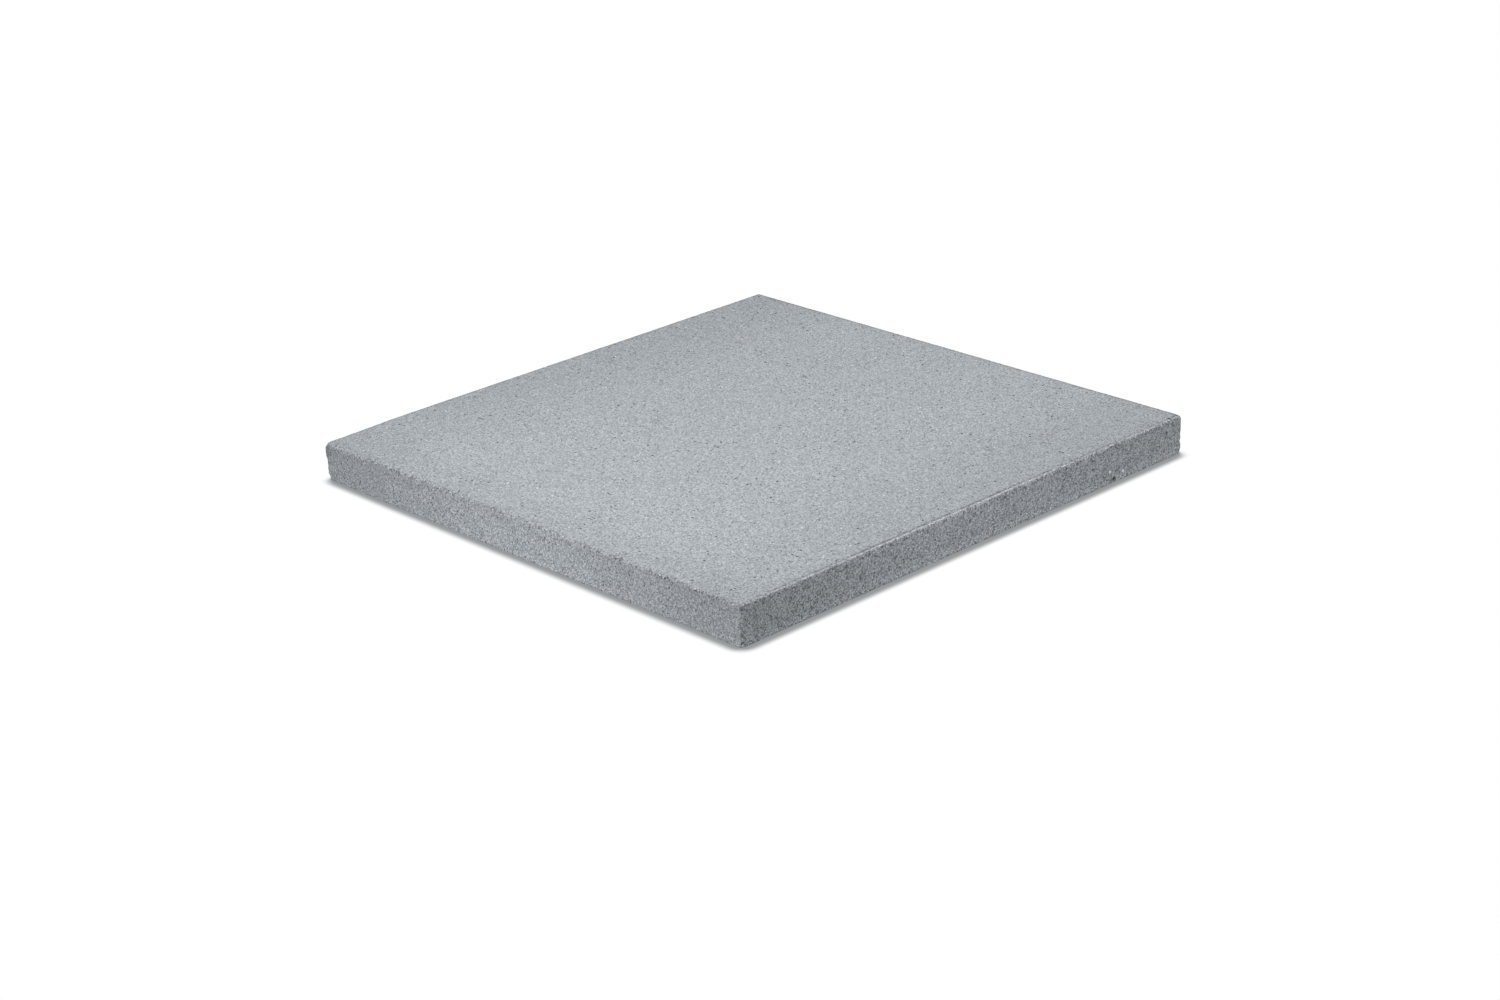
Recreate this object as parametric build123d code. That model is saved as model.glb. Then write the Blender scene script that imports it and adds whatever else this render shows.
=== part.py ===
from build123d import *
import os

# A square paving slab of plain concrete, cast in one piece and lying on its bed face.
# Millimetres, +Z up. The origin is the middle of the bed face.

# Plan size and thickness
LENGTH = 600.0
WIDTH = 600.0
THICKNESS = 40.0

# Upright corners, rounded by the mould
CORNER_RADIUS = 4.0

# Top edge, rubbed round where the walking face turns down into the sides
TOP_ARRIS_RADIUS = 2.0

# Bottom edge, a small flat bevel round the bed face
BED_ARRIS_BEVEL = 1.0

PARTS_FOLDER = "parts"


def cast_block() -> Part:
    """Returns the slab as it fills the mould: the plan with round corners, raised to the thickness."""
    plan = RectangleRounded(LENGTH, WIDTH, CORNER_RADIUS)
    return extrude(plan, THICKNESS)


def paving_slab() -> Part:
    """Returns the finished slab, with its round top edge and its bevelled bottom edge."""
    block = cast_block()
    walking_edges = block.faces().sort_by(Axis.Z).last.edges()
    rounded = fillet(walking_edges, TOP_ARRIS_RADIUS)
    bed_edges = rounded.faces().sort_by(Axis.Z).first.edges()
    return chamfer(bed_edges, BED_ARRIS_BEVEL)


os.makedirs(PARTS_FOLDER, exist_ok=True)
export_step(paving_slab(), os.path.join(PARTS_FOLDER, "paving_slab.step"))
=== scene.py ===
"""Dresses a square concrete paving slab: its worn cast surface, its finish and a plain studio.

Lengths are in metres where nothing else is said.
"""

import logging
import math
from dataclasses import asdict, dataclass, field
from enum import Enum
from functools import reduce
from typing import ClassVar, Optional, Union

import bpy
import numpy as np
from mathutils import Matrix, Vector


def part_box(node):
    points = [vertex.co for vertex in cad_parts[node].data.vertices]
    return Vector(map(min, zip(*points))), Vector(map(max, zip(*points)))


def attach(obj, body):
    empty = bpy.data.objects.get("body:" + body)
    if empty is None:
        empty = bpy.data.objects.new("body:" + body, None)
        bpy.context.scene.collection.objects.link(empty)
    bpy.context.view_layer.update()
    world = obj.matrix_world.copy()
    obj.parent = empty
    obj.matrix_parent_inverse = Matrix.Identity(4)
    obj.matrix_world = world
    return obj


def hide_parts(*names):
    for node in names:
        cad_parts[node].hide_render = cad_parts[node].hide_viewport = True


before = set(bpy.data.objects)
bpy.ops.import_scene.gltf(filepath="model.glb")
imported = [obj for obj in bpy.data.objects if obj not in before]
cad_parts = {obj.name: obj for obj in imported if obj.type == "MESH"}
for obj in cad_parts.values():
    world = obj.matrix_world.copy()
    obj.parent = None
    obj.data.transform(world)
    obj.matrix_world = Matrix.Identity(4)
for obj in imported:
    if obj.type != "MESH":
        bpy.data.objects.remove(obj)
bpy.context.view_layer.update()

MM = 0.001
SLAB_NODE = "paving_slab"
SLAB_BODY = "root"
BAKE_MAP = "OFBake"
PAINTED_SHADE = "painted_shade"
CRUST = "crust"
DOT_RIM = 0.01 * MM
CHANCE_STEP = 0.01

Place = tuple[float, float, float]
MapPlace = tuple[float, float]
Span = tuple[float, float]
Colour = tuple[float, float, float, float]
Key = Union[str, int]
Settings = Optional[dict[str, object]]
Inputs = Optional[dict[Key, object]]

log = logging.getLogger("paving_slab")


class Sum(Enum):
    """A sum that a Math node does."""

    ADD = "ADD"
    SUBTRACT = "SUBTRACT"
    MULTIPLY = "MULTIPLY"
    DIVIDE = "DIVIDE"
    LEAST = "MINIMUM"
    MOST = "MAXIMUM"
    SIZE = "ABSOLUTE"


class Side(Enum):
    """A side of the slab, named from the camera, with the way it faces in plan."""

    RIGHT_FRONT = (0, -1)
    RIGHT_BACK = (1, 0)
    LEFT_BACK = (0, 1)
    LEFT_FRONT = (-1, 0)


class Chart(Enum):
    """A part of the slab's surface that is laid out flat in one place for baking."""

    WALKING_FACE = "walking face"
    SIDES = "sides"
    BED_FACE = "bed face"


class WearSeed(Enum):
    """A random pattern of the worn surface, with what it adds to the seed."""

    SAND = 1.0
    SWELL = 2.0
    AIR_HOLES = 3.0
    CRUMBS = 5.0
    RIDGE_PATCHES = 6.0
    TORN = 7.0
    GROOVE_DOTS = 8.0
    RIDGE_CRUMBS = 9.0


class FinishSeed(Enum):
    """A random pattern of the finish, with its seed."""

    BROAD_CLOUDS = 1.0
    SMALL_CLOUDS = 2.0
    MOTTLE = 3.0
    GRAIN = 4.0
    DUST = 5.0
    PORES = 6.0
    PITS = 8.0
    PEBBLES = 9.0
    GRIT = 10.0


class Wire:
    """A value in a node tree. A sum on wires adds the nodes that do it."""

    def __init__(self, board: "Board", socket: bpy.types.NodeSocket) -> None:
        """Keeps the board that the socket is on."""
        self.board = board
        self.socket = socket

    def __add__(self, other: "Number") -> "Wire":
        """Returns self + other."""
        return self.board.math(Sum.ADD, self, other)

    __radd__ = __add__

    def __sub__(self, other: "Number") -> "Wire":
        """Returns self - other."""
        return self.board.math(Sum.SUBTRACT, self, other)

    def __rsub__(self, other: float) -> "Wire":
        """Returns other - self."""
        return self.board.math(Sum.SUBTRACT, other, self)

    def __mul__(self, other: "Number") -> "Wire":
        """Returns self * other."""
        return self.board.math(Sum.MULTIPLY, self, other)

    __rmul__ = __mul__

    def __truediv__(self, other: "Number") -> "Wire":
        """Returns self / other."""
        return self.board.math(Sum.DIVIDE, self, other)

    def __rtruediv__(self, other: float) -> "Wire":
        """Returns other / self."""
        return self.board.math(Sum.DIVIDE, other, self)

    def __abs__(self) -> "Wire":
        """Returns self without its sign."""
        return self.board.math(Sum.SIZE, self)

    def least(self, other: "Number") -> "Wire":
        """Returns the smaller of the two."""
        return self.board.math(Sum.LEAST, self, other)

    def most(self, other: "Number") -> "Wire":
        """Returns the larger of the two."""
        return self.board.math(Sum.MOST, self, other)

    def rise(self, low: "Number", high: "Number") -> "Wire":
        """Returns 0 below low and 1 above high, with a smooth rise between them."""
        ends = {"Value": self, "From Min": low, "From Max": high}
        return self.board.wire("ShaderNodeMapRange", "Result", {"interpolation_type": "SMOOTHSTEP"}, ends)

    def fall(self, low: "Number", high: "Number") -> "Wire":
        """Returns 1 below low and 0 above high, with a smooth fall between them."""
        return 1 - self.rise(low, high)


Number = Union[Wire, float]
Knobs = dict[str, Wire]


def between(first: Number, second: Number, share: Number) -> Number:
    """Returns the value that lies the given share of the way from the first to the second."""
    return first + (second - first) * share


@dataclass(frozen=True)
class Cells:
    """A pattern of random cells: the way to the nearest middle, and each cell's own chances from 0 to 1."""

    away: Wire
    chance: Wire
    other_chance: Wire

    def dots(self, radius: Wire, core: float, rim: float = DOT_RIM) -> Wire:
        """Returns 1 in the core of a dot round each middle, falling to 0 at its radius and rim."""
        return self.away.fall(radius * core, radius + rim)


class Board:
    """A node tree, with the ways that nodes are added to it."""

    def __init__(self, tree: bpy.types.NodeTree) -> None:
        """Keeps the tree."""
        self.tree = tree

    @classmethod
    def of(cls, owner: Union[bpy.types.Material, bpy.types.World]) -> "Board":
        """Empties the node tree of a material or a world.

        Args:
            owner: The material or the world.

        Returns:
            The board of its tree.
        """
        owner.use_nodes = True
        owner.node_tree.nodes.clear()
        return cls(owner.node_tree)

    def node(self, kind: str, settings: Settings = None, inputs: Inputs = None) -> bpy.types.Node:
        """Adds a node.

        Args:
            kind: The node's type.
            settings: Its properties, which are set first.
            inputs: A value or a wire for each socket, by the socket's name or number.

        Returns:
            The new node.
        """
        made = self.tree.nodes.new(kind)
        for name, value in (settings or {}).items():
            setattr(made, name, value)
        for key, value in (inputs or {}).items():
            socket = self._socket(made.inputs, key)
            if isinstance(value, Wire):
                self.tree.links.new(value.socket, socket)
            else:
                socket.default_value = value
        return made

    def wire(self, kind: str, output: Key, settings: Settings = None, inputs: Inputs = None) -> Wire:
        """Adds a node and picks one of its outputs.

        Args:
            kind: The node's type.
            output: The name or number of the output.
            settings: As for node.
            inputs: As for node.

        Returns:
            The output's wire.
        """
        made = self.node(kind, settings, inputs)
        return Wire(self, self._socket(made.outputs, output))

    @staticmethod
    def _socket(sockets: bpy.types.bpy_prop_collection, key: Key) -> bpy.types.NodeSocket:
        """Finds a socket that is in use.

        Args:
            sockets: A node's inputs or outputs.
            key: The socket's name or number.

        Returns:
            The socket.
        """
        if isinstance(key, int):
            return sockets[key]
        return next(socket for socket in sockets if socket.name == key and socket.enabled)

    def math(self, kind: Sum, first: Number, second: Number = 0.0) -> Wire:
        """Returns the outcome of one Math node."""
        return self.wire("ShaderNodeMath", "Value", {"operation": kind.value}, {0: first, 1: second})

    def moved(self, at: Wire, seed: Number) -> Wire:
        """Returns a place moved away by the seed, where a pattern has other numbers."""
        way = seed if isinstance(seed, Wire) else (seed, seed, seed)
        return self.wire("ShaderNodeVectorMath", "Vector", {"operation": "ADD"}, {0: at, 1: way})

    def split(self, vector: Wire) -> tuple[Wire, Wire, Wire]:
        """Returns a vector's three parts."""
        parts = self.node("ShaderNodeSeparateXYZ", inputs={"Vector": vector})
        return tuple(Wire(self, socket) for socket in parts.outputs)

    def scaled(self, vector: Wire, size: Number) -> Wire:
        """Returns a vector or a colour times a number."""
        inputs = {"Vector": vector, "Scale": size}
        return self.wire("ShaderNodeVectorMath", "Vector", {"operation": "SCALE"}, inputs)

    def noise(self, at: Wire, size: float, seed: Number, detail: float = 2.0) -> Wire:
        """Adds a cloudy pattern.

        Args:
            at: Where it is read.
            size: How wide its patches are.
            seed: Picks one of many such patterns.
            detail: How many finer patterns lie on it.

        Returns:
            The pattern, from about -1 to 1.
        """
        inputs = {"Vector": self.moved(at, seed), "Scale": 1 / size, "Detail": detail}
        return self.wire("ShaderNodeTexNoise", "Fac", {"noise_dimensions": "3D"}, inputs) * 2 - 1

    def cells(self, at: Wire, size: float, seed: Number) -> Cells:
        """Adds a pattern of random cells.

        Args:
            at: Where it is read.
            size: How wide a cell is.
            seed: Picks one of many such patterns.

        Returns:
            The pattern.
        """
        inputs = {"Vector": self.moved(at, seed), "Scale": 1 / size}
        made = self.node("ShaderNodeTexVoronoi", {"voronoi_dimensions": "3D"}, inputs)
        first, second, _ = self.split(Wire(self, made.outputs["Color"]))
        return Cells(Wire(self, made.outputs["Distance"]) * size, first, second)

    def mix(self, share: Number, first: object, second: object) -> Wire:
        """Returns the colour that lies the given share of the way from the first to the second."""
        inputs = {"Factor": share, "A": first, "B": second}
        return self.wire("ShaderNodeMix", "Result", {"data_type": "RGBA"}, inputs)


@dataclass(frozen=True)
class SlabSize:
    """The slab's sizes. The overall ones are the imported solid's."""

    length: float
    width: float
    thickness: float
    corner_radius: float = 4.0 * MM
    arris_radius: float = 2.0 * MM
    bed_bevel: float = 0.3 * MM

    @classmethod
    def of_node(cls, node: str) -> "SlabSize":
        """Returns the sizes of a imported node."""
        low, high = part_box(node)
        return cls(*(top - bottom for top, bottom in zip(high, low)))

    @property
    def half(self) -> tuple[float, float]:
        """Half the length and half the width."""
        return self.length / 2, self.width / 2


@dataclass(frozen=True)
class Zones:
    """Where a point of the slab's surface lies, as wires."""

    SIDE_RIM: ClassVar[Span] = (0.5 * MM, 3.0 * MM)

    x: Wire
    y: Wire
    z: Wire
    from_length_ends: Wire
    from_width_ends: Wire
    from_sides: Wire
    from_top: Wire

    @classmethod
    def of(cls, board: Board, at: Wire, size: SlabSize) -> "Zones":
        """Works the zones out on a board.

        Args:
            board: The tree that needs them.
            at: The point's place.
            size: The slab's sizes.

        Returns:
            The zones.
        """
        x, y, z = board.split(at)
        from_length_ends = size.half[0] - abs(x)
        from_width_ends = size.half[1] - abs(y)
        from_sides = from_length_ends.least(from_width_ends)
        return cls(x, y, z, from_length_ends, from_width_ends, from_sides, size.thickness - z)

    def on_sides(self) -> Wire:
        """Returns 1 on the slab's sides and 0 on its two faces."""
        return self.from_sides.fall(*self.SIDE_RIM)

    def to_core(self, board: Board, size: SlabSize, cover: Number) -> Wire:
        """Works out the way in, straight at a face or a side and slanting near an edge.

        Args:
            board: The tree that needs it.
            size: The slab's sizes.
            cover: How far under the surface the slab's core begins.

        Returns:
            The way from the point to the core, of length 1.
        """
        reach = [half - cover for half in size.half]
        across = self.x.least(reach[0]).most(reach[0] * -1) - self.x
        along = self.y.least(reach[1]).most(reach[1] * -1) - self.y
        up = self.z.least(size.thickness - cover).most(cover) - self.z
        way = board.wire("ShaderNodeCombineXYZ", "Vector", None, {"X": across, "Y": along, "Z": up})
        return board.wire("ShaderNodeVectorMath", "Vector", {"operation": "NORMALIZE"}, {0: way})

    def from_side(self, side: Side, size: SlabSize) -> Wire:
        """Returns how far in from one side a point is."""
        across, along = side.value
        return size.half[0] * abs(across) + size.half[1] * abs(along) - self.x * across - self.y * along


@dataclass(frozen=True)
class Ring:
    """One closed row of points round the slab: how far in from the sides, how high, and on which chart."""

    inset: float
    height: float
    chart: Chart


@dataclass
class Lattice:
    """The slab's surface before it is worn: rings of points round its edge and a grid on each face."""

    size: SlabSize
    columns: int = 400
    strip_width: float = 9.0 * MM
    strip_gap: float = 3.0 * MM
    strip_rows: int = 5
    arris_rows: int = 4
    side_rows: int = 24
    bed_rows: int = 3
    walking_cells: int = 172
    bed_cells: int = 60
    map_gap: float = 0.01
    walking_map: float = 0.66
    bed_map: float = 0.30
    side_map: float = 0.065
    points: list[Place] = field(default_factory=list)
    faces: list[list[int]] = field(default_factory=list)
    map_places: list[MapPlace] = field(default_factory=list)

    def rings(self) -> list[Ring]:
        """Lists the rings from the walking face, over the arris and down the side, to the bed face.

        Returns:
            The rings in that order.
        """
        size = self.size
        rings = [
            Ring(inset, size.thickness, Chart.WALKING_FACE)
            for inset in np.linspace(self.strip_width, size.arris_radius, self.strip_rows + 1)
        ]
        for turn in np.linspace(0, math.pi / 2, self.arris_rows + 1)[1:]:
            inset = size.arris_radius * (1 - math.sin(turn))
            drop = size.arris_radius * (1 - math.cos(turn))
            rings.append(Ring(inset, size.thickness - drop, Chart.SIDES))
        for height in np.linspace(rings[-1].height, size.bed_bevel, self.side_rows + 1)[1:]:
            rings.append(Ring(0.0, height, Chart.SIDES))
        rings.append(Ring(size.bed_bevel, 0.0, Chart.SIDES))
        for inset in np.linspace(size.bed_bevel, self.strip_width, self.bed_rows + 1)[1:]:
            rings.append(Ring(inset, 0.0, Chart.BED_FACE))
        return rings

    def ring_points(self, ring: Ring) -> list[Place]:
        """Works out where a ring's points lie, with its corners rounded.

        Args:
            ring: The ring.

        Returns:
            Its points, anticlockwise from the front corner.
        """
        half = np.array(self.size.half) - ring.inset
        corners = np.array([(-1, -1), (1, -1), (1, 1), (-1, 1)]) * half
        shares = np.arange(self.columns)[:, None] / self.columns
        ends = zip(corners, np.roll(corners, -1, axis=0))
        plan = np.concatenate([start + (end - start) * shares for start, end in ends])
        radius = self.size.corner_radius - ring.inset
        if radius > 0:
            middle = np.clip(plan, radius - half, half - radius)
            out = plan - middle
            plan = middle + out * radius / np.linalg.norm(out, axis=1, keepdims=True)
        return [(across, along, ring.height) for across, along in plan]

    def face_place(self, chart: Chart, point: Place) -> MapPlace:
        """Works out where a point of a face lies on the bake map.

        Args:
            chart: The walking face or the bed face.
            point: The point.

        Returns:
            Its place on the map.
        """
        first, reach = self.map_gap, self.walking_map
        if chart is Chart.BED_FACE:
            first, reach = self.walking_map + 2 * self.map_gap, self.bed_map
        across = point[0] / self.size.length + 0.5
        along = point[1] / self.size.width + 0.5
        return first + across * reach, self.map_gap + along * reach

    def side_places(self, column: int, upper: float, lower: float) -> list[MapPlace]:
        """Works out where a face of a side lies on the bake map.

        Args:
            column: The face's column, counted round the slab.
            upper: How far down the side its upper edge is, as a share.
            lower: The same for its lower edge.

        Returns:
            The place of each of its four corners.
        """
        side, step = divmod(column, self.columns)
        top = 1 - self.map_gap - side * (self.side_map + self.map_gap)
        reach = 1 - 2 * self.map_gap
        near, far = (self.map_gap + reach * place / self.columns for place in (step, step + 1))
        high, low = (top - share * self.side_map for share in (upper, lower))
        return [(near, high), (near, low), (far, low), (far, high)]

    def add_rings(self) -> tuple[list[int], list[int]]:
        """Adds the rings' points and the faces between them.

        Returns:
            The point numbers of the innermost ring on the walking face and on the bed face.
        """
        rings = self.rings()
        count = len(Side) * self.columns
        for ring in rings:
            self.points += self.ring_points(ring)
        sizes = [math.hypot(b.inset - a.inset, b.height - a.height) for a, b in zip(rings, rings[1:])]
        down = np.cumsum([size * (ring.chart is Chart.SIDES) for size, ring in zip(sizes, rings[1:])])
        down = np.concatenate([[0.0], down / down[-1]])
        for row, ring in enumerate(rings[1:]):
            for column in range(count):
                after = (column + 1) % count
                upper, lower = row * count, (row + 1) * count
                face = [upper + column, lower + column, lower + after, upper + after]
                self.faces.append(face)
                if ring.chart is Chart.SIDES:
                    self.map_places += self.side_places(column, down[row], down[row + 1])
                else:
                    self.map_places += [self.face_place(ring.chart, self.points[corner]) for corner in face]
        last = (len(rings) - 1) * count
        return list(range(count)), list(range(last, last + count))

    def add_grid(self, chart: Chart, cells: int, height: float, rim: list[int]) -> None:
        """Fills one face with a grid and joins it to the ring round it.

        Args:
            chart: The walking face or the bed face.
            cells: How many cells the grid has each way.
            height: How high the face is.
            rim: The point numbers of the ring, anticlockwise from the front corner.
        """
        number = len(self.points) + np.arange((cells + 1) ** 2).reshape(cells + 1, cells + 1)
        half = np.array(self.size.half) - self.strip_width - self.strip_gap
        for along in np.linspace(-half[1], half[1], cells + 1):
            self.points += [(across, along, height) for across in np.linspace(-half[0], half[0], cells + 1)]
        corners = [number[:-1, :-1], number[:-1, 1:], number[1:, 1:], number[1:, :-1]]
        squares = np.stack([corner.ravel() for corner in corners], axis=1).tolist()
        border = np.concatenate([number[0, :-1], number[:-1, -1], number[-1, :0:-1], number[:0:-1, 0]])
        for face in squares + self.zipped(rim, border.tolist()):
            if chart is Chart.BED_FACE:
                face.reverse()
            self.faces.append(face)
            self.map_places += [self.face_place(chart, self.points[corner]) for corner in face]

    @staticmethod
    def zipped(outer: list[int], inner: list[int]) -> list[list[int]]:
        """Joins two closed rows of points with triangles.

        Args:
            outer: The outer row, anticlockwise.
            inner: The inner row, which starts at the same corner and may have fewer points.

        Returns:
            The triangles' point numbers.
        """
        triangles = []
        i = j = 0
        while i < len(outer) or j < len(inner):
            first, last = outer[i % len(outer)], inner[j % len(inner)]
            if (i + 1) * len(inner) <= (j + 1) * len(outer):
                i += 1
                triangles.append([first, outer[i % len(outer)], last])
            else:
                j += 1
                triangles.append([first, inner[j % len(inner)], last])
        return triangles

    def mesh(self, name: str) -> bpy.types.Mesh:
        """Makes the whole surface as one closed mesh with its bake map.

        Args:
            name: The mesh's name.

        Returns:
            The mesh.
        """
        walking_rim, bed_rim = self.add_rings()
        self.add_grid(Chart.WALKING_FACE, self.walking_cells, self.size.thickness, walking_rim)
        self.add_grid(Chart.BED_FACE, self.bed_cells, 0.0, bed_rim)
        made = bpy.data.meshes.new(name)
        made.from_pydata(self.points, [], self.faces)
        made.uv_layers.new(name=BAKE_MAP).uv.foreach_set("vector", np.array(self.map_places).ravel())
        made.polygons.foreach_set("use_smooth", [True] * len(made.polygons))
        return made


@dataclass(frozen=True)
class WearSizes:
    """The sizes that are inputs of the weathering's node tree, and its seed."""

    face_relief: float = 0.04 * MM
    side_relief: float = 0.15 * MM
    face_swell: float = 0.06 * MM
    side_swell: float = 0.15 * MM
    pit_width: float = 4.0 * MM
    pit_depth: float = 1.0 * MM
    crumb_depth: float = 1.0 * MM
    crust_height: float = 0.45 * MM
    corner_droop: float = 1.5 * MM
    core_cover: float = 8.0 * MM
    seed: float = 4.0


@dataclass(frozen=True)
class Surface:
    """A point of the slab's surface, as a node tree sees it, and what its patterns' seeds start from."""

    board: Board
    size: SlabSize
    at: Wire
    zones: Zones
    side: Wire
    seed: Number

    def noise(self, size: float, pattern: Union[WearSeed, FinishSeed], detail: float = 2.0) -> Wire:
        """Returns a cloudy pattern, as Board.noise does."""
        return self.board.noise(self.at, size, self.seed + pattern.value, detail)

    def cells(self, size: float, pattern: Union[WearSeed, FinishSeed]) -> Cells:
        """Returns a pattern of random cells, as Board.cells does."""
        return self.board.cells(self.at, size, self.seed + pattern.value)

    def away(self, place: Place) -> Wire:
        """Returns how far the point is from a fixed place."""
        ends = {0: self.at, 1: place}
        return self.board.wire("ShaderNodeVectorMath", "Value", {"operation": "DISTANCE"}, ends)


@dataclass(frozen=True)
class Spot(Surface):
    """A point of the unworn surface, with the inputs of the weathering's node tree."""

    knob: Knobs


@dataclass(frozen=True)
class SandySkin:
    """The sandy skin of the concrete and the broad unevenness under it."""

    sand_width: float = 3.0 * MM
    swell_width: float = 24.0 * MM

    def depth(self, spot: Spot) -> Wire:
        """Works out how far the skin lies below the unworn surface.

        Args:
            spot: The point.

        Returns:
            The depth.
        """
        knob = spot.knob
        sand = spot.noise(self.sand_width, WearSeed.SAND) + 1
        swell = spot.noise(self.swell_width, WearSeed.SWELL) + 1
        sand_depth = between(knob["face_relief"], knob["side_relief"], spot.side)
        swell_depth = between(knob["face_swell"], knob["side_swell"], spot.side)
        return sand * sand_depth + swell * swell_depth


@dataclass(frozen=True)
class AirHoles:
    """Air holes in the cast surface, rare on the faces and common on the sides."""

    spacing: float = 8.0 * MM
    face_shut: float = 0.93
    side_shut: float = 0.62
    least_room: float = 0.001
    core: float = 0.3

    def mask(self, spot: Spot) -> Wire:
        """Works out where the holes are.

        Args:
            spot: The point.

        Returns:
            The holes, from 0 to 1.
        """
        cells = spot.cells(self.spacing, WearSeed.AIR_HOLES)
        shut = between(self.face_shut, self.side_shut, spot.side)
        room = ((cells.chance - shut) / (1 - shut)).most(self.least_room)
        return cells.dots(room * spot.knob["pit_width"] / 2, self.core, rim=0.0)


@dataclass(frozen=True)
class CrumbledEdges:
    """What has crumbled off the edges, most of it along one arris."""

    wear: tuple[tuple[Side, float], ...] = (
        (Side.LEFT_FRONT, 1.0), (Side.RIGHT_FRONT, 0.3), (Side.RIGHT_BACK, 0.4), (Side.LEFT_BACK, 0.4),
    )
    reach: Span = (2.0 * MM, 9.0 * MM)
    arris_reach: float = 6.5 * MM
    corner_wear: float = 0.3
    bed_reach: float = 4.0 * MM
    bed_wear: float = 0.10
    crumb_width: float = 2.6 * MM
    crumb_levels: Span = (-0.4, 0.5)
    least_loss: float = 0.35

    def mask(self, spot: Spot) -> Wire:
        """Works out how much is gone.

        Args:
            spot: The point.

        Returns:
            The loss, from 0 to 1.
        """
        zones = spot.zones
        near = [zones.from_side(side, spot.size).fall(*self.reach) * amount for side, amount in self.wear]
        arris = (zones.from_sides + zones.from_top).fall(0.0, self.arris_reach) * reduce(Wire.most, near)
        corner = (zones.from_length_ends + zones.from_width_ends).fall(*self.reach) * self.corner_wear
        bed = (zones.from_sides + zones.z).fall(0.0, self.bed_reach) * self.bed_wear
        loose = spot.noise(self.crumb_width, WearSeed.CRUMBS).rise(*self.crumb_levels)
        return arris.most(corner).most(bed) * between(self.least_loss, 1.0, loose)


@dataclass(frozen=True)
class MouldRidge:
    """The broken ridge that the mould left along one arris, and the groove behind it."""

    side: Side = Side.RIGHT_FRONT
    skin_depth: Span = (0.4 * MM, 1.4 * MM)
    clear_from: Span = (-0.27, -0.18)
    clear_to: Span = (0.04, 0.14)
    patch_width: float = 20.0 * MM
    patch_detail: float = 3.0
    patch_levels: Span = (-0.4, 0.0)
    patch_strength: Span = (0.75, 1.0)
    ridge_inset: float = 1.1 * MM
    ridge_reach: Span = (0.5 * MM, 1.6 * MM)
    ridge_crumb: float = 4.0 * MM
    ridge_levels: Span = (-0.35, 0.15)
    ridge_least: Span = (0.25, 0.5)
    groove_inset: float = 3.5 * MM
    groove_reach: Span = (0.6 * MM, 3.2 * MM)
    groove_dot: float = 4.5 * MM
    groove_levels: Span = (-0.3, 0.35)
    groove_least: Span = (0.2, 0.4)

    def masks(self, spot: Spot) -> tuple[Wire, Wire]:
        """Works out where the ridge and the groove are.

        Args:
            spot: The point.

        Returns:
            The ridge and the groove, each from 0 to 1.
        """
        inset = spot.zones.from_side(self.side, spot.size)
        on_top = spot.zones.from_top.fall(*self.skin_depth)
        clearest = spot.zones.x.rise(*self.clear_from) * spot.zones.x.fall(*self.clear_to)
        whole = spot.noise(self.patch_width, WearSeed.RIDGE_PATCHES, self.patch_detail)
        whole = whole.rise(*self.patch_levels) * between(*self.patch_strength, clearest) * on_top
        crumbly = spot.noise(self.ridge_crumb, WearSeed.RIDGE_CRUMBS).rise(*self.ridge_levels)
        dotted = spot.noise(self.groove_dot, WearSeed.GROOVE_DOTS).rise(*self.groove_levels)
        ridge = abs(inset - self.ridge_inset).fall(*self.ridge_reach)
        ridge = ridge * between(between(*self.ridge_least, clearest), 1.0, crumbly)
        groove = abs(inset - self.groove_inset).fall(*self.groove_reach)
        groove = groove * between(between(*self.groove_least, clearest), 1.0, dotted)
        return ridge * whole, groove * whole


@dataclass(frozen=True)
class Knock:
    """A place that has lost some concrete: where, how far round it, how deep, and how dark the painted
    shade in its middle is.
    """

    place: Place
    reach: float
    depth: float
    dark: float = 0.4
    core: float = 0.5


@dataclass(frozen=True)
class Marks:
    """The wires of a weathered surface: how deep it lies and which way, how much painted shade it gets, and
    where the mould ridge lies, which gets a painted highlight.
    """

    depth: Wire
    way_in: Wire
    painted_shade: Wire
    crust: Wire


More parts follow.
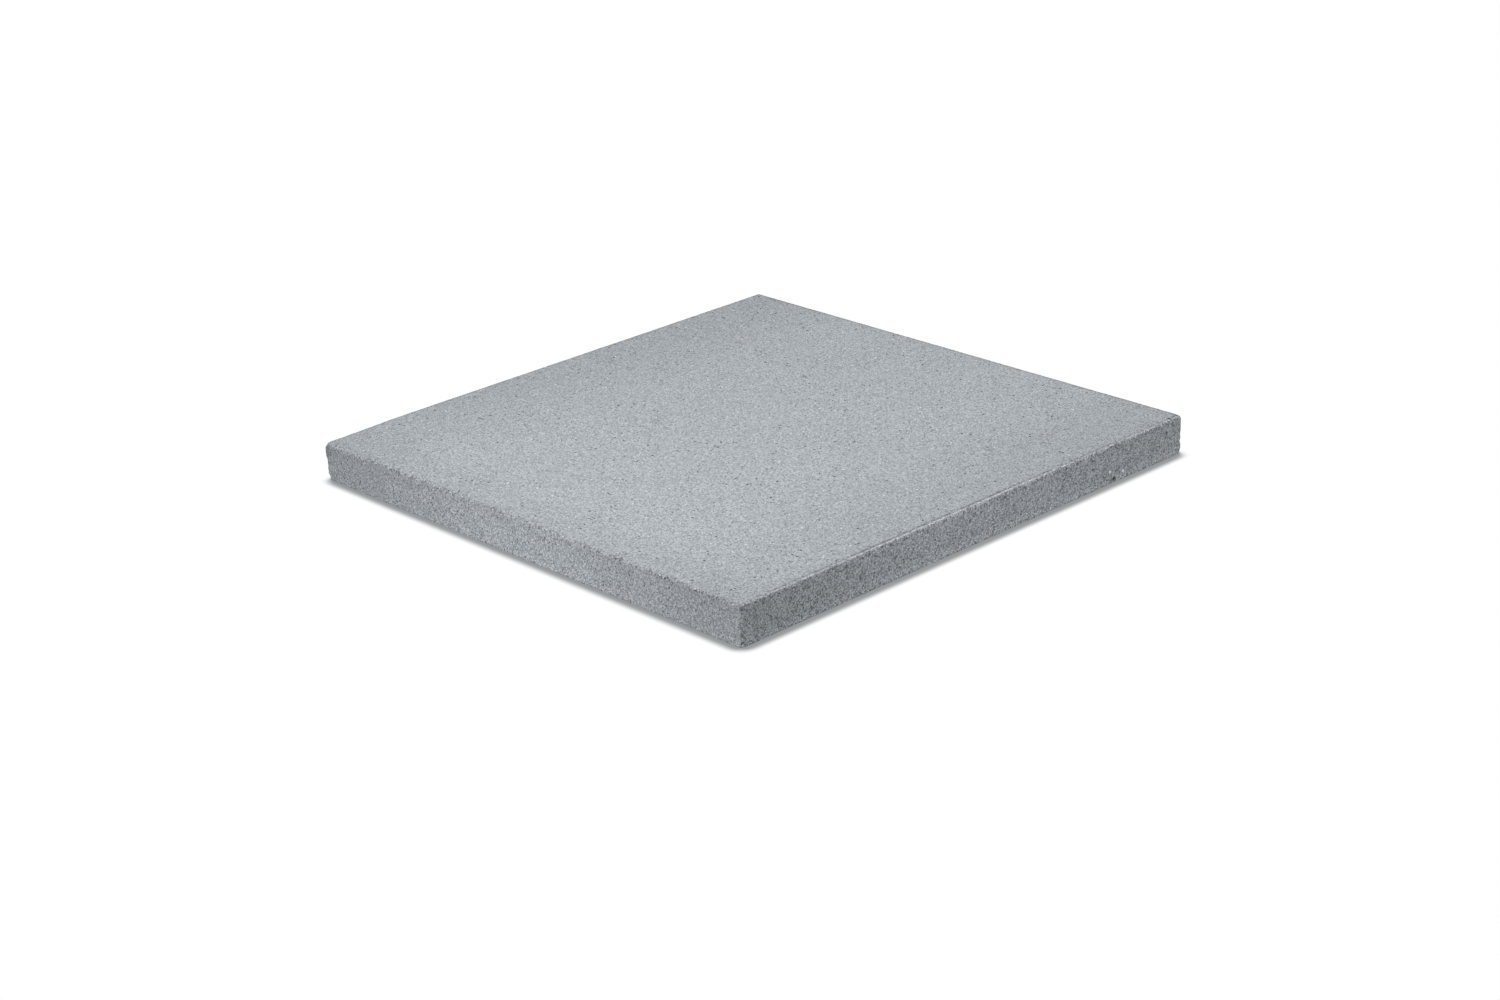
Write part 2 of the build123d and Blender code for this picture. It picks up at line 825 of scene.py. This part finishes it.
@dataclass
class Weathering:
    """How casting, stripping from the mould and handling have marked the slab."""

    size: SlabSize
    wear: WearSizes = WearSizes()
    skin: SandySkin = SandySkin()
    air_holes: AirHoles = AirHoles()
    edges: CrumbledEdges = CrumbledEdges()
    mould_ridge: MouldRidge = MouldRidge()
    face_skin: Span = (1.0 * MM, 3.0 * MM)
    torn_width: float = 5.0 * MM
    torn_range: float = 0.5
    droop_reach: Span = (5.0 * MM, 110.0 * MM)
    groove_depth: float = 1.2
    groove_shadow: float = 1.5
    crumb_shade: float = 0.2
    most_painted_shade: float = 1.3

    def knocks(self) -> list[Knock]:
        """Lists the lost pieces of the corners that show, and one deep air hole.

        Returns:
            The knocks of the left corner, the right corner, the hole with its tail, and the front corner.
        """
        across, along = self.size.half
        high = self.size.thickness
        left, right = (-across, along), (across, -along)
        front, tip = (2 * MM - across, 0.5 * MM - along), (1 * MM - across, 1 * MM - along)
        hole, tail = (0.655 * across, -along), (0.640 * across, -along)
        return [
            Knock((*left, 20 * MM), reach=5 * MM, depth=1.4 * MM, dark=0.8),
            Knock((*left, 15 * MM), reach=5 * MM, depth=0.9 * MM, dark=0.7),
            Knock((*left, 9 * MM), reach=5 * MM, depth=0.7 * MM, dark=0.7),
            Knock((*left, 0.0), reach=8 * MM, depth=3.5 * MM),
            Knock((*left, high), reach=7 * MM, depth=2.0 * MM),
            # Painted shade only: no concrete is taken here, the left corner's upper block is darkened.
            Knock((*left, 31 * MM), reach=13 * MM, depth=0.0, dark=0.7),
            Knock((*right, high), reach=4 * MM, depth=0.6 * MM),
            Knock((*right, 20 * MM), reach=3.5 * MM, depth=0.9 * MM),
            Knock((*right, 13 * MM), reach=4 * MM, depth=1.1 * MM),
            Knock((*right, 0.0), reach=6 * MM, depth=1.2 * MM),
            Knock((*hole, 3.5 * MM), reach=2.8 * MM, depth=1.8 * MM, dark=2.3),
            Knock((*tail, 3.0 * MM), reach=2.8 * MM, depth=1.0 * MM, dark=1.4),
            Knock((*front, 4 * MM), reach=2.2 * MM, depth=0.6 * MM, dark=1.6),
            Knock((*front, 11 * MM), reach=2.6 * MM, depth=0.7 * MM, dark=1.6),
            Knock((*tip, 19 * MM), reach=2.2 * MM, depth=0.5 * MM, dark=1.4),
            Knock((*front, 36 * MM), reach=2.6 * MM, depth=0.6 * MM, dark=1.4),
        ]

    def knocked(self, spot: Spot) -> tuple[Wire, Wire]:
        """Works out what the knocks have taken.

        Args:
            spot: The point.

        Returns:
            The depth, and how dark it is there.
        """
        depth = dark = spot.side * 0
        for knock in self.knocks():
            dent = spot.away(knock.place).fall(knock.reach * knock.core, knock.reach)
            depth = depth.most(dent * knock.depth)
            dark = dark.most(dent * knock.dark)
        torn = spot.noise(self.torn_width, WearSeed.TORN) * self.torn_range + 1
        return depth * torn, dark

    def droop(self, spot: Spot) -> Wire:
        """Returns how far the walking face hangs down towards its left corner."""
        left_corner = (-self.size.half[0], self.size.half[1], self.size.thickness)
        return spot.away(left_corner).fall(*self.droop_reach) * spot.knob["corner_droop"]

    def marks(self, board: Board, knob: Knobs) -> Marks:
        """Puts all the marks together.

        Args:
            board: The tree.
            knob: The tree's inputs, by name.

        Returns:
            The wires of the weathered surface.
        """
        at = board.wire("GeometryNodeInputPosition", "Position")
        zones = Zones.of(board, at, self.size)
        spot = Spot(board, self.size, at, zones, zones.on_sides(), knob["seed"], knob)
        holes = self.air_holes.mask(spot)
        crumbs = self.edges.mask(spot)
        ridge, groove = self.mould_ridge.masks(spot)
        knocked, dark = self.knocked(spot)
        on_face = zones.from_top.fall(*self.face_skin)
        lost = holes * knob["pit_depth"] + crumbs * knob["crumb_depth"] + knocked
        sunk = (on_face - ridge + groove * self.groove_depth) * knob["crust_height"]
        sunk = sunk + self.droop(spot) * on_face
        depth = (self.skin.depth(spot) * (1 - ridge) + lost + sunk).most(0.0)
        # Painted shade: the air holes, the groove behind the ridge, the crumbled edges and the knocks are
        # darkened as if in shade.
        painted_shade = holes + groove * self.groove_shadow + crumbs * self.crumb_shade
        painted_shade = painted_shade.least(self.most_painted_shade).most(dark)
        return Marks(depth, zones.to_core(board, self.size, knob["core_cover"]), painted_shade, ridge)

    def tree(self, concrete: bpy.types.Material) -> bpy.types.NodeTree:
        """Builds the node tree that wears a mesh.

        Args:
            concrete: The material that the mesh gets.

        Returns:
            The tree, with an input for each of the wear's sizes.
        """
        made = bpy.data.node_groups.new("slab_weathering", "GeometryNodeTree")
        for way in ("INPUT", "OUTPUT"):
            made.interface.new_socket("Geometry", in_out=way, socket_type="NodeSocketGeometry")
        for name in asdict(self.wear):
            made.interface.new_socket(name, in_out="INPUT", socket_type="NodeSocketFloat")
        board = Board(made)
        group = board.node("NodeGroupInput")
        knob = {socket.name: Wire(board, socket) for socket in group.outputs}
        marks = self.marks(board, knob)
        worn = knob["Geometry"]
        for name, value in ((PAINTED_SHADE, marks.painted_shade), (CRUST, marks.crust)):
            settings = {"data_type": "FLOAT", "domain": "POINT"}
            inputs = {"Geometry": worn, "Name": name, "Value": value}
            worn = board.wire("GeometryNodeStoreNamedAttribute", "Geometry", settings, inputs)
        moved = {"Geometry": worn, "Offset": board.scaled(marks.way_in, marks.depth)}
        worn = board.wire("GeometryNodeSetPosition", "Geometry", None, moved)
        worn = board.wire("GeometryNodeRealizeInstances", "Geometry", None, {"Geometry": worn})
        dressed = {"Geometry": worn, "Material": concrete}
        worn = board.wire("GeometryNodeSetMaterial", "Geometry", None, dressed)
        board.node("NodeGroupOutput", None, {"Geometry": worn})
        return made

    def apply(self, piece: bpy.types.Object, concrete: bpy.types.Material) -> None:
        """Wears a piece's mesh and leaves it as a plain mesh.

        Args:
            piece: The object with the unworn mesh.
            concrete: The material that it gets.
        """
        modifier = piece.modifiers.new("weathering", "NODES")
        modifier.node_group = self.tree(concrete)
        sockets = {item.name: item.identifier for item in modifier.node_group.interface.items_tree}
        for name, value in asdict(self.wear).items():
            modifier[sockets[name]] = value
        evaluated = piece.evaluated_get(bpy.context.evaluated_depsgraph_get())
        plain = bpy.data.meshes.new_from_object(evaluated)
        piece.modifiers.remove(modifier)
        unworn = piece.data
        plain.name = unworn.name + "_worn"
        piece.data = plain
        bpy.data.meshes.remove(unworn)


@dataclass(frozen=True)
class Skin(Surface):
    """What the finish reads off the slab's surface."""

    ROUGH_EDGE: ClassVar[Span] = (1.0 * MM, 3.0 * MM)
    NEAR_ARRIS: ClassVar[Span] = (1.0 * MM, 20.0 * MM)
    AT_ARRIS: ClassVar[Span] = (2.0 * MM, 7.0 * MM)

    rough_side: Wire
    near_arris: Wire
    at_arris: Wire
    painted_shade: Wire
    crust: Wire

    @classmethod
    def of(cls, board: Board, size: SlabSize) -> "Skin":
        """Reads the surface of a slab.

        Args:
            board: The material's tree.
            size: The slab's sizes.

        Returns:
            The surface.
        """
        at = board.wire("ShaderNodeTexCoord", "Object")
        zones = Zones.of(board, at, size)
        rough_side = zones.from_side(Side.RIGHT_FRONT, size).fall(*cls.ROUGH_EDGE)
        from_arris = zones.from_top + zones.from_sides
        near, close = from_arris.fall(*cls.NEAR_ARRIS), from_arris.fall(*cls.AT_ARRIS)
        painted_shade, crust = (
            board.wire("ShaderNodeAttribute", "Fac", {"attribute_name": name}) for name in (PAINTED_SHADE, CRUST)
        )
        side = zones.on_sides()
        return cls(board, size, at, zones, side, 0.0, rough_side, near, close, painted_shade, crust)


@dataclass(frozen=True)
class OpenPores:
    """Pores and larger pits that show as dark dots."""

    face_openness: float = 0.16
    side_openness: float = 0.19
    arris_openness: float = 0.05
    rough_openness: float = 0.08
    pore_spacing: float = 2.2 * MM
    pore_radius: float = 0.75 * MM
    pit_spacing: float = 4.0 * MM
    pit_shut: float = 0.93
    pit_openness: float = 0.3
    pit_least: float = 0.6 * MM
    face_pit: float = 1.5 * MM
    side_pit: float = 1.1 * MM
    core: float = 0.6

    def mask(self, skin: Skin) -> Wire:
        """Works out where the pores and the pits are.

        Args:
            skin: The slab's surface.

        Returns:
            The pores and the pits, from 0 to 1.
        """
        openness = between(self.face_openness, self.side_openness, skin.side)
        openness = openness + skin.near_arris * self.arris_openness + skin.rough_side * self.rough_openness
        pore = skin.cells(self.pore_spacing, FinishSeed.PORES)
        pore_radius = pore.chance.rise(1 - openness, 1.0) * self.pore_radius
        pit = skin.cells(self.pit_spacing, FinishSeed.PITS)
        shut = self.pit_shut - openness * self.pit_openness
        pit_most = between(self.face_pit, self.side_pit, skin.side)
        pit_radius = between(self.pit_least, pit_most, pit.other_chance)
        pit_radius = pit.chance.rise(shut, shut + CHANCE_STEP) * pit_radius
        return pore.dots(pore_radius, self.core).most(pit.dots(pit_radius, self.core))


@dataclass(frozen=True)
class PaleStones:
    """Pale grit and pebbles that show here and there, and two stones in one side."""

    grit_spacing: float = 2.8 * MM
    face_bare: float = 0.94
    side_bare: float = 0.80
    rough_bare: float = 0.04
    grit_radius: Span = (0.4 * MM, 1.0 * MM)
    pebble_spacing: float = 14.0 * MM
    pebble_chance: Span = (0.85, 1.0)
    pebble_radius: float = 2.4 * MM
    pebble_strength: float = 0.6
    core: float = 0.7
    stones: tuple[tuple[float, float], ...] = ((0.632, 13.0 * MM), (0.696, 8.5 * MM))
    stone_reach: Span = (1.2 * MM, 2.2 * MM)

    def mask(self, skin: Skin) -> Wire:
        """Works out where the surface is pale.

        Args:
            skin: The slab's surface.

        Returns:
            The pale dots, from 0 to 1.
        """
        grit = skin.cells(self.grit_spacing, FinishSeed.GRIT)
        bare = between(self.face_bare, self.side_bare, skin.side) - skin.rough_side * self.rough_bare
        grit_radius = between(*self.grit_radius, grit.other_chance)
        grit_radius = grit.chance.rise(bare, bare + CHANCE_STEP) * grit_radius
        pebble = skin.cells(self.pebble_spacing, FinishSeed.PEBBLES)
        pebble_radius = pebble.chance.rise(*self.pebble_chance) * self.pebble_radius * skin.side
        pale = grit.dots(grit_radius, self.core)
        pale = pale.most(pebble.dots(pebble_radius, self.core) * self.pebble_strength)
        across, along = skin.size.half
        for share, up in self.stones:
            stone = skin.away((share * across, -along, up))
            pale = pale.most(stone.fall(*self.stone_reach))
        return pale


@dataclass(frozen=True)
class BroadTone:
    """The concrete's broad tone, with painted shade at the edges and corners and painted light at the foot.
    """

    face_tone: float = 0.985
    side_tone: float = 1.005
    face_rim_shade: float = 0.11
    face_rim_reach: float = 170 * MM
    rim_depth: Span = (1 * MM, 4 * MM)
    rim_core: float = 0.4
    rim_shade: tuple[tuple[Side, float, float], ...] = (
        (Side.LEFT_FRONT, 0.06, 60 * MM), (Side.RIGHT_BACK, 0.20, 7 * MM), (Side.LEFT_BACK, 0.12, 7 * MM),
    )
    left_front_reach: Span = (3 * MM, 9 * MM)
    near_arris: Span = (0.03, 0.05)
    side_arris: float = 0.07
    left_front_arris: float = 0.09
    rough_side: float = 0.06
    corner_shade: tuple[tuple[int, int, float], ...] = (
        (-1, -1, 0.25), (1, -1, 0.06), (1, 1, 0.20), (-1, 1, 0.25),
    )
    corner_reach: float = 290 * MM
    foot_reach: float = 12 * MM
    foot_light: Span = (0.05, 0.16)
    broad_cloud_width: float = 180 * MM
    broad_cloud_tone: float = 0.03
    small_cloud_width: float = 32 * MM
    small_cloud_detail: float = 3.0
    small_cloud_tone: float = 0.02

    def shade(self, skin: Skin) -> Wire:
        """Works out how much darker the edges and the corners are: painted shade at the face's rims and the
        sides' corners, and darker arris bands.

        Args:
            skin: The slab's surface.

        Returns:
            What the tone loses.
        """
        zones, size = skin.zones, skin.size
        # Painted shade: the walking face darkens towards its two width ends and along some of its rims.
        face_rim_shade = zones.from_width_ends.fall(0.0, self.face_rim_reach) * self.face_rim_shade * (1 - skin.side)
        at_top = zones.from_top.fall(*self.rim_depth)
        for side, shade, reach in self.rim_shade:
            rim = zones.from_side(side, size).fall(reach * self.rim_core, reach)
            face_rim_shade = face_rim_shade + rim * at_top * shade
        left_front = zones.from_side(Side.LEFT_FRONT, size).fall(*self.left_front_reach)
        arris = skin.side * self.side_arris + left_front * self.left_front_arris
        dark = face_rim_shade + skin.near_arris * between(*self.near_arris, left_front)
        dark = dark + skin.at_arris * arris + skin.rough_side * self.rough_side
        # Painted shade: each side darkens towards the slab's corners.
        for across, along, shade in self.corner_shade:
            away = abs(zones.x - size.half[0] * across) + abs(zones.y - size.half[1] * along)
            dark = dark + away.fall(0.0, self.corner_reach) * skin.side * shade
        return dark

    def wire(self, skin: Skin) -> Wire:
        """Puts the shade, the clouds and the painted light at the foot together.

        Args:
            skin: The slab's surface.

        Returns:
            The tone, about 1.
        """
        dark = self.shade(skin)
        # Painted light: the foot of each side is lightened as if by light thrown back from the white floor.
        painted_foot_light = skin.zones.z.fall(0.0, self.foot_reach) * skin.side
        painted_foot_light = painted_foot_light * between(*self.foot_light, skin.rough_side)
        broad = skin.noise(self.broad_cloud_width, FinishSeed.BROAD_CLOUDS)
        small = skin.noise(self.small_cloud_width, FinishSeed.SMALL_CLOUDS, self.small_cloud_detail)
        clouds = broad * self.broad_cloud_tone + small * self.small_cloud_tone
        return between(self.face_tone, self.side_tone, skin.side) + clouds - dark + painted_foot_light


@dataclass(frozen=True)
class Specks:
    """The fine patterns of the concrete."""

    grain: Cells
    dust: Wire
    mottle: Wire
    holes: Wire
    pale: Wire


@dataclass(frozen=True)
class ConcreteFinish:
    """Matt cool-grey concrete, with fine sand at its face and open pores on its sides."""

    size: SlabSize
    name: str = "cast_concrete"
    paste: Colour = (0.447, 0.484, 0.517, 1.0)
    sand: Colour = (0.490, 0.507, 0.515, 1.0)
    sand_share: float = 0.5
    roughness: float = 0.92
    hole_roughness: float = 0.06
    pale_polish: float = 0.3
    specular: float = 0.3
    pores: OpenPores = OpenPores()
    stones: PaleStones = PaleStones()
    broad_tone: BroadTone = BroadTone()
    grain_width: float = 1.4 * MM
    grain_middle: float = 0.52
    dust_width: float = 0.7 * MM
    dust_detail: float = 1.0
    mottle_width: float = 5.0 * MM
    face_grain: float = 0.85
    side_grain: float = 0.98
    arris_grain: float = 0.4
    rough_grain: float = 0.15
    chance_tone: float = 0.65
    gap_tone: float = 1.1
    dust_tone: float = 0.25
    mottle_tone: float = 0.015
    hole_tone: Span = (1.0, 0.8)
    pale_tone: float = 1.1
    painted_shade_tone: float = 0.38
    ridge_highlight: float = 0.45
    least_tone: float = 0.08
    dome_height: float = 0.12
    dome_least: float = 0.3
    mottle_height: float = 0.03
    pale_height: float = 0.15
    hole_depth: float = 0.50
    bump: Span = (0.6, 1.0)

    def tone(self, skin: Skin, specks: Specks) -> Wire:
        """Works out how light the concrete is, with its painted shade and highlight.

        Args:
            skin: The slab's surface.
            specks: Its fine patterns.

        Returns:
            What the colour is multiplied by.
        """
        contrast = between(self.face_grain, self.side_grain, skin.side)
        contrast = contrast * (1 + skin.at_arris * self.arris_grain + skin.rough_side * self.rough_grain)
        gap = specks.grain.away / self.grain_width - self.grain_middle
        grainy = (specks.grain.chance - 0.5) * self.chance_tone - gap * self.gap_tone
        grainy = (grainy + specks.dust * self.dust_tone) * contrast
        tone = 1 + specks.mottle * self.mottle_tone + grainy
        tone = tone - specks.holes * between(*self.hole_tone, skin.side) + specks.pale * self.pale_tone
        tone = tone * self.broad_tone.wire(skin)
        # Painted shade darkens the hollows and the groove behind the mould ridge; a painted highlight
        # lightens the ridge.
        tone = tone * (1 - skin.painted_shade * self.painted_shade_tone) + skin.crust * self.ridge_highlight
        return tone.most(self.least_tone)

    def relief(self, skin: Skin, specks: Specks) -> Wire:
        """Works out how the fine patterns stand out of the surface.

        Args:
            skin: The slab's surface.
            specks: Its fine patterns.

        Returns:
            The height in millimetres.
        """
        grain = specks.grain
        dome = (1 - grain.away / self.grain_width).most(0.0) * (grain.other_chance + self.dome_least)
        height = dome * self.dome_height + specks.mottle * self.mottle_height
        height = height + specks.pale * self.pale_height - specks.holes * self.hole_depth
        return height * between(*self.bump, skin.side)

    def material(self) -> bpy.types.Material:
        """Makes the concrete.

        Returns:
            The material.
        """
        made = bpy.data.materials.new(self.name)
        board = Board.of(made)
        skin = Skin.of(board, self.size)
        specks = Specks(
            grain=skin.cells(self.grain_width, FinishSeed.GRAIN),
            dust=skin.noise(self.dust_width, FinishSeed.DUST, self.dust_detail),
            mottle=skin.noise(self.mottle_width, FinishSeed.MOTTLE),
            holes=self.pores.mask(skin),
            pale=self.stones.mask(skin),
        )
        colour = board.mix(specks.grain.other_chance * self.sand_share, self.paste, self.sand)
        bumps = {"Strength": 1.0, "Distance": MM, "Height": self.relief(skin, specks)}
        roughness = self.roughness + specks.holes * self.hole_roughness - specks.pale * self.pale_polish
        surface = {
            "Base Color": board.scaled(colour, self.tone(skin, specks)),
            "Roughness": roughness,
            "Normal": board.wire("ShaderNodeBump", "Normal", None, bumps),
            "Specular IOR Level": self.specular,
        }
        shader = board.wire("ShaderNodeBsdfPrincipled", "BSDF", None, surface)
        board.node("ShaderNodeOutputMaterial", None, {"Surface": shader})
        return made


@dataclass
class PavingSlab:
    """The slab, cast in one piece."""

    size: SlabSize
    name: str = "worn_slab"

    def build(self) -> bpy.types.Object:
        """Makes the worn slab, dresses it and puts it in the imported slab's place.

        Returns:
            The slab.
        """
        piece = bpy.data.objects.new(self.name, Lattice(self.size).mesh(self.name))
        bpy.context.scene.collection.objects.link(piece)
        Weathering(self.size).apply(piece, ConcreteFinish(self.size).material())
        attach(piece, SLAB_BODY)
        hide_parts(SLAB_NODE)
        return piece


@dataclass(frozen=True)
class FloorFinish:
    """A floor that looks white, with a painted contact shadow round the slab's foot, and throws back little
    light.
    """

    name: str = "pale_floor"
    bounce: Colour = (0.52, 0.52, 0.52, 1.0)
    shade: Colour = (0.309, 0.319, 0.328, 1.0)
    white: Colour = (1.0, 1.0, 1.0, 1.0)
    shade_reach: float = 14.0 * MM
    shade_way: Place = (0.50, 0.60, 0.62)
    shade_levels: Span = (0.48, 0.96)
    shade_samples: int = 32

    def material(self) -> bpy.types.Material:
        """Makes the white of the floor, with a narrow painted shadow where the slab stands on it.

        Returns:
            The material.
        """
        made = bpy.data.materials.new(self.name)
        board = Board.of(made)
        across, along, up = self.shade_way
        way = board.wire("ShaderNodeCombineXYZ", "Vector", None, {"X": across, "Y": along, "Z": up})
        nearness = {"Distance": self.shade_reach, "Normal": way}
        settings = {"samples": self.shade_samples}
        # Painted shadow: ambient occlusion round the slab's foot darkens the floor's white glow.
        open_sky = board.wire("ShaderNodeAmbientOcclusion", "AO", settings, nearness)
        seen_colour = board.mix(open_sky.rise(*self.shade_levels), self.shade, self.white)
        glow = board.wire("ShaderNodeEmission", "Emission", None, {"Color": seen_colour, "Strength": 1.0})
        matt = board.wire("ShaderNodeBsdfDiffuse", "BSDF", None, {"Color": self.bounce})
        mixed = {0: seen_rays(board), 1: matt, 2: glow}
        surface = board.wire("ShaderNodeMixShader", "Shader", None, mixed)
        board.node("ShaderNodeOutputMaterial", None, {"Surface": surface})
        return made


def seen_rays(board: Board) -> Wire:
    """Picks the rays that show something to the camera, straight or by way of gloss or glass.

    Args:
        board: The tree of a material or a world.

    Returns:
        1 for such rays and 0 for the rest.
    """
    path = board.node("ShaderNodeLightPath")
    names = ("Is Camera Ray", "Is Glossy Ray", "Is Transmission Ray")
    camera, glossy, through = (Wire(board, path.outputs[name]) for name in names)
    return camera.most(glossy).most(through)


@dataclass
class Studio:
    """A plain floor, soft light and the camera at the photograph's angle."""

    floor_reach: float = 12.0
    sky: float = 0.448
    sky_colour: Colour = (1.0, 1.0, 1.0, 1.0)
    lamp_way: Place = (-0.54, -0.19, 0.82)
    lamp_distance: float = 3.0
    lamp_width: float = 2.2
    lamp_power: float = 59.0
    camera_place: Place = (-1.7928, -1.9330, 1.0454)
    camera_yaw: float = math.radians(42.765)
    camera_pitch: float = math.radians(22.317)
    camera_roll: float = math.radians(-2.563)
    lens: float = 68.718
    clip: tuple[float, float] = (0.01, 60.0)

    def floor(self) -> bpy.types.Object:
        """Lays the floor.

        Returns:
            The floor.
        """
        reach = self.floor_reach
        mesh = bpy.data.meshes.new("floor")
        corners = [(-reach, -reach, 0.0), (reach, -reach, 0.0), (reach, reach, 0.0), (-reach, reach, 0.0)]
        mesh.from_pydata(corners, [], [[0, 1, 2, 3]])
        mesh.materials.append(FloorFinish().material())
        piece = bpy.data.objects.new("floor", mesh)
        bpy.context.scene.collection.objects.link(piece)
        return piece

    def world(self) -> None:
        """Makes an even soft sky that looks white."""
        made = bpy.data.worlds.new("soft_sky")
        board = Board.of(made)
        strength = between(self.sky, 1.0, seen_rays(board))
        light = {"Color": self.sky_colour, "Strength": strength}
        sky = board.wire("ShaderNodeBackground", "Background", None, light)
        board.node("ShaderNodeOutputWorld", None, {"Surface": sky})
        bpy.context.scene.world = made

    def lamp(self) -> bpy.types.Object:
        """Hangs one broad soft lamp to the left.

        Returns:
            The lamp.
        """
        light = bpy.data.lights.new("soft_lamp", "AREA")
        light.shape = "SQUARE"
        light.size = self.lamp_width
        light.energy = self.lamp_power
        made = bpy.data.objects.new("soft_lamp", light)
        way = Vector(self.lamp_way).normalized()
        made.location = way * self.lamp_distance
        made.rotation_euler = way.to_track_quat("Z", "Y").to_euler()
        bpy.context.scene.collection.objects.link(made)
        return made

    def camera(self) -> bpy.types.Object:
        """Sets up the camera at the photograph's place.

        Returns:
            The camera.
        """
        data = bpy.data.cameras.new("camera")
        data.lens = self.lens
        data.clip_start, data.clip_end = self.clip
        made = bpy.data.objects.new("camera", data)
        level = Vector((math.sin(self.camera_yaw), math.cos(self.camera_yaw), 0.0))
        up = Vector((0.0, 0.0, 1.0))
        ahead = level * math.cos(self.camera_pitch) - up * math.sin(self.camera_pitch)
        right = ahead.cross(up).normalized()
        turn = Matrix((right, right.cross(ahead), -ahead)).transposed()
        roll = Matrix.Rotation(self.camera_roll, 3, "Z")
        made.matrix_world = Matrix.Translation(self.camera_place) @ (turn @ roll).to_4x4()
        bpy.context.scene.collection.objects.link(made)
        bpy.context.scene.camera = made
        return made

    def build(self) -> list[bpy.types.Object]:
        """Sets up everything round the slab.

        Returns:
            The floor, the lamp and the camera.
        """
        self.world()
        bpy.context.scene.view_settings.view_transform = "Standard"
        return [self.floor(), self.lamp(), self.camera()]


def main() -> None:
    """Builds the slab and its studio, and says what was made."""
    logging.basicConfig(level=logging.INFO, format="%(name)s: %(message)s")
    slab = PavingSlab(SlabSize.of_node(SLAB_NODE)).build()
    slab.data.calc_loop_triangles()
    points, triangles = len(slab.data.vertices), len(slab.data.loop_triangles)
    log.info("%s: %d points, %d triangles", slab.name, points, triangles)
    for piece in Studio().build():
        log.info("%s", piece.name)


if __name__ == "__main__":
    main()
